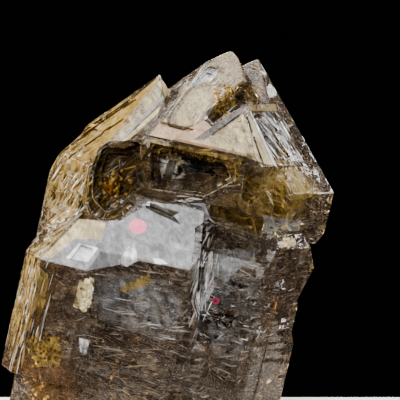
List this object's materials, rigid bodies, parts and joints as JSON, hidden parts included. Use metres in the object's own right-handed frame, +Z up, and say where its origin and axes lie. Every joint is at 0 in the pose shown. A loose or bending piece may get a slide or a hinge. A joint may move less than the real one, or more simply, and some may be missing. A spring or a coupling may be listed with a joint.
{
  "type": "hopper quartz crystal",
  "caption": "Leaning quartz crystal grown as parallel prisms and stepped points in one piece, with rimmed hopper hollows below a front shelf and a flat broken base to stand on.",
  "frame": {"origin": "middle of the bounding box, on the plane of the broken base", "axes": "+Z up from the broken base, -Y towards the pictured front; the crystal's long axis leans 12.5 degrees from +Z towards +X"},
  "size_m": [0.0676, 0.0502, 0.0757],
  "materials": {
    "quartz": "clear to smoky brown quartz, glossy faces with frosted and stepped patches, golden films and cream crust in the hollows"
  },
  "bodies": {
    "root": {"quartz_crystal": "quartz"}
  },
  "joints": []
}
